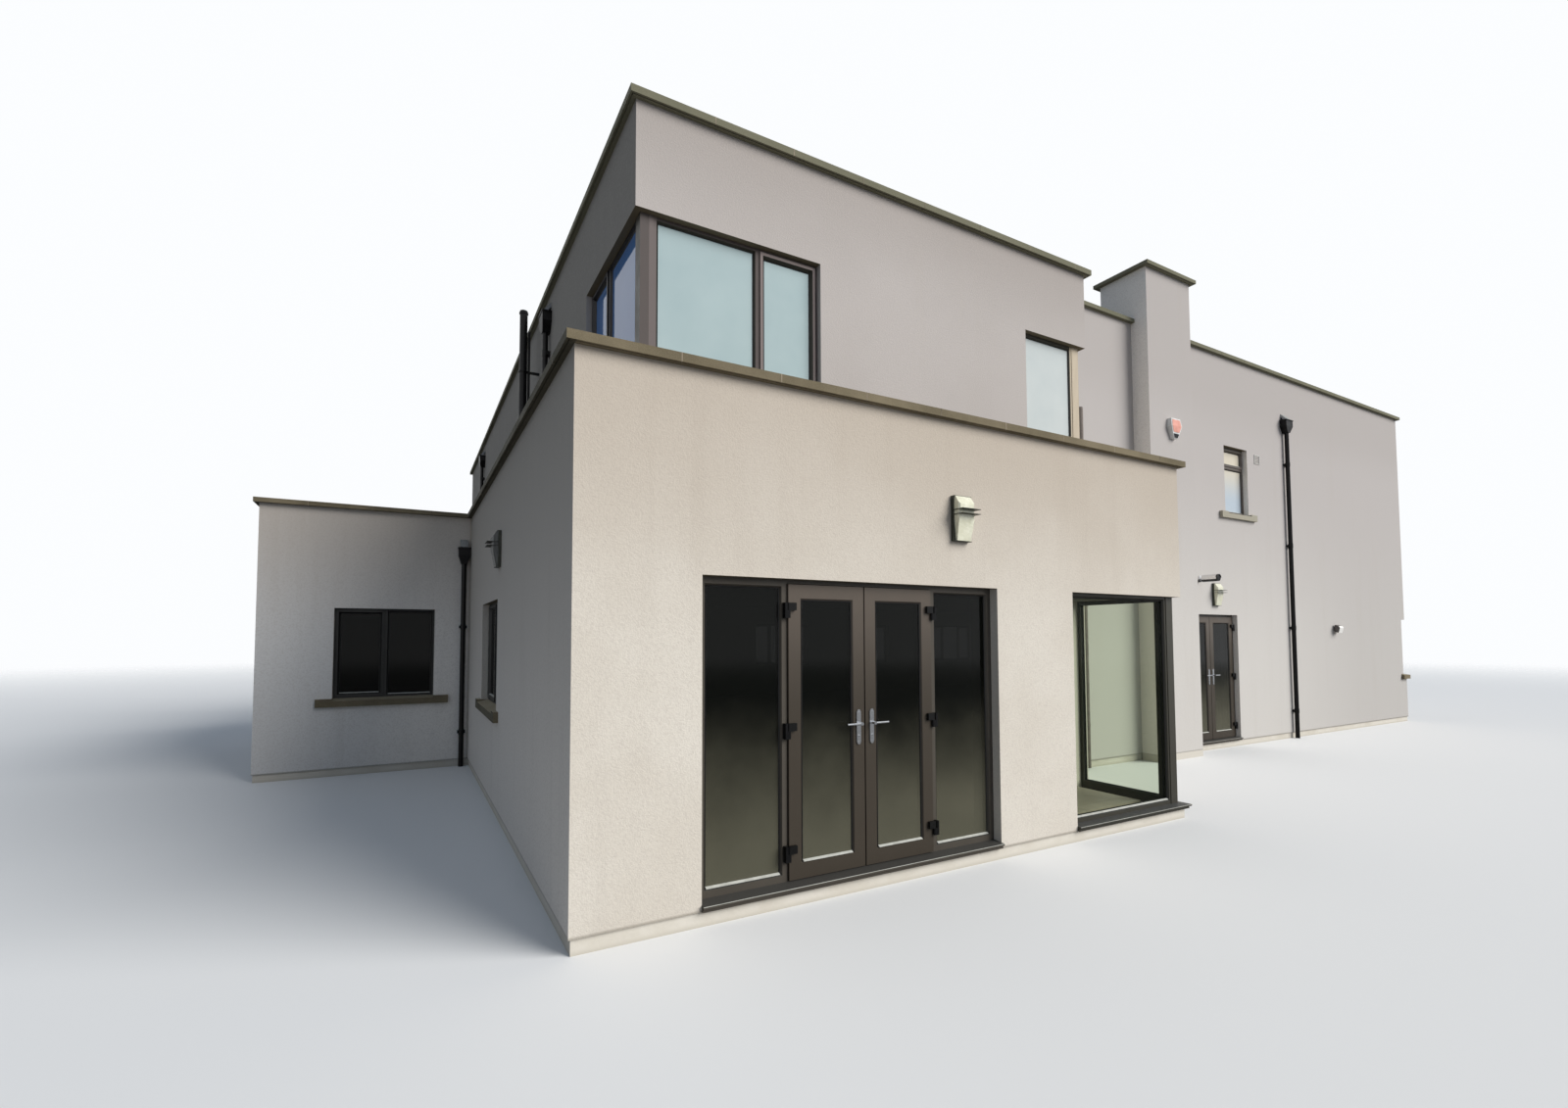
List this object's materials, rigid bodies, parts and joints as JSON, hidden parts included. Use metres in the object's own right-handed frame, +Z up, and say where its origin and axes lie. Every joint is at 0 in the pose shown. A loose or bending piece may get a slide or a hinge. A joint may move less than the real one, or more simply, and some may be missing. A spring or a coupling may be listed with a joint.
{
  "type": "detached house",
  "caption": "Modern flat-roofed detached house with rendered walls, stone copings, corner windows, a chimney, a low wing and glazed doors that swing open.",
  "frame": {"origin": "centre of the house's outline, on the ground", "axes": "+X along the front to the right, +Y from the front to the back, +Z up"},
  "size_m": [21.45, 14.4, 7.62],
  "materials": {
    "render": "fine roughcast render, warm off-white",
    "plinth": "smooth painted render, cream",
    "floor": "matt tile",
    "roof": "grey roofing membrane",
    "coping_stone": "olive-brown cut stone",
    "frame": "satin grey-brown powder coat",
    "glass": "clear sealed glazing",
    "chrome": "bright chrome plate",
    "black_metal": "black satin paint",
    "lamp_glass": "frosted glass",
    "white_plastic": "white moulded case",
    "grey_metal": "grey satin paint"
  },
  "bodies": {
    "house": {"base_slab": "plinth", "ground_floor": "floor", "upper_floor": "floor", "front_wall_left": "render", "front_wall_middle": "render", "front_wall_head": "render", "left_wall": "render", "right_wall": "render", "wing_walls": "render", "main_wall_left": "render", "main_wall_low": "render", "main_wall_upper": "render", "end_wall": "render", "back_wall": "render", "upper_front_wall": "render", "upper_left_wall": "render", "upper_right_wall": "render", "low_roof": "roof", "upper_roof": "roof", "main_roof": "roof", "low_coping": "coping_stone", "upper_coping": "coping_stone", "main_coping": "coping_stone", "chimney_breast": "render", "chimney_cap": "coping_stone", "door_screen_frame": "frame", "door_screen_glass": "glass", "door_hinge_plates": "black_metal", "side_door_frame": "frame", "corner_frames": "frame", "corner_glass": "glass", "window_frames": "frame", "window_glass": "glass", "window_sills": "coping_stone", "rainwater_pipes": "black_metal", "flue": "black_metal", "lamp_brackets": "black_metal", "lamp_shades": "lamp_glass", "alarm_box": "white_plastic", "wall_camera": "white_plastic", "flood_lamp": "grey_metal"},
    "front_door_left": {"front_leaf_left": "frame", "front_leaf_left_glass": "glass", "front_leaf_left_handle": "chrome"},
    "front_door_right": {"front_leaf_right": "frame", "front_leaf_right_glass": "glass", "front_leaf_right_handle": "chrome"},
    "side_door_left": {"side_leaf_left": "frame", "side_leaf_left_glass": "glass", "side_leaf_left_handle": "chrome"},
    "side_door_right": {"side_leaf_right": "frame", "side_leaf_right_glass": "glass", "side_leaf_right_handle": "chrome"}
  },
  "joints": [
    {"name": "front_left_swing", "type": "hinge", "parent": "house", "child": "front_door_left", "pos_m": [-6.568, -7.009, 1.2], "axis": [0, 0, -1], "range_deg": [0, 90]},
    {"name": "front_right_swing", "type": "hinge", "parent": "house", "child": "front_door_right", "pos_m": [-5.222, -7.009, 1.2], "axis": [0, 0, 1], "range_deg": [0, 90]},
    {"name": "side_left_swing", "type": "hinge", "parent": "house", "child": "side_door_left", "pos_m": [2.286, -4.849, 1.2], "axis": [0, 0, -1], "range_deg": [0, 90]},
    {"name": "side_right_swing", "type": "hinge", "parent": "house", "child": "side_door_right", "pos_m": [3.684, -4.849, 1.2], "axis": [0, 0, 1], "range_deg": [0, 90]}
  ]
}
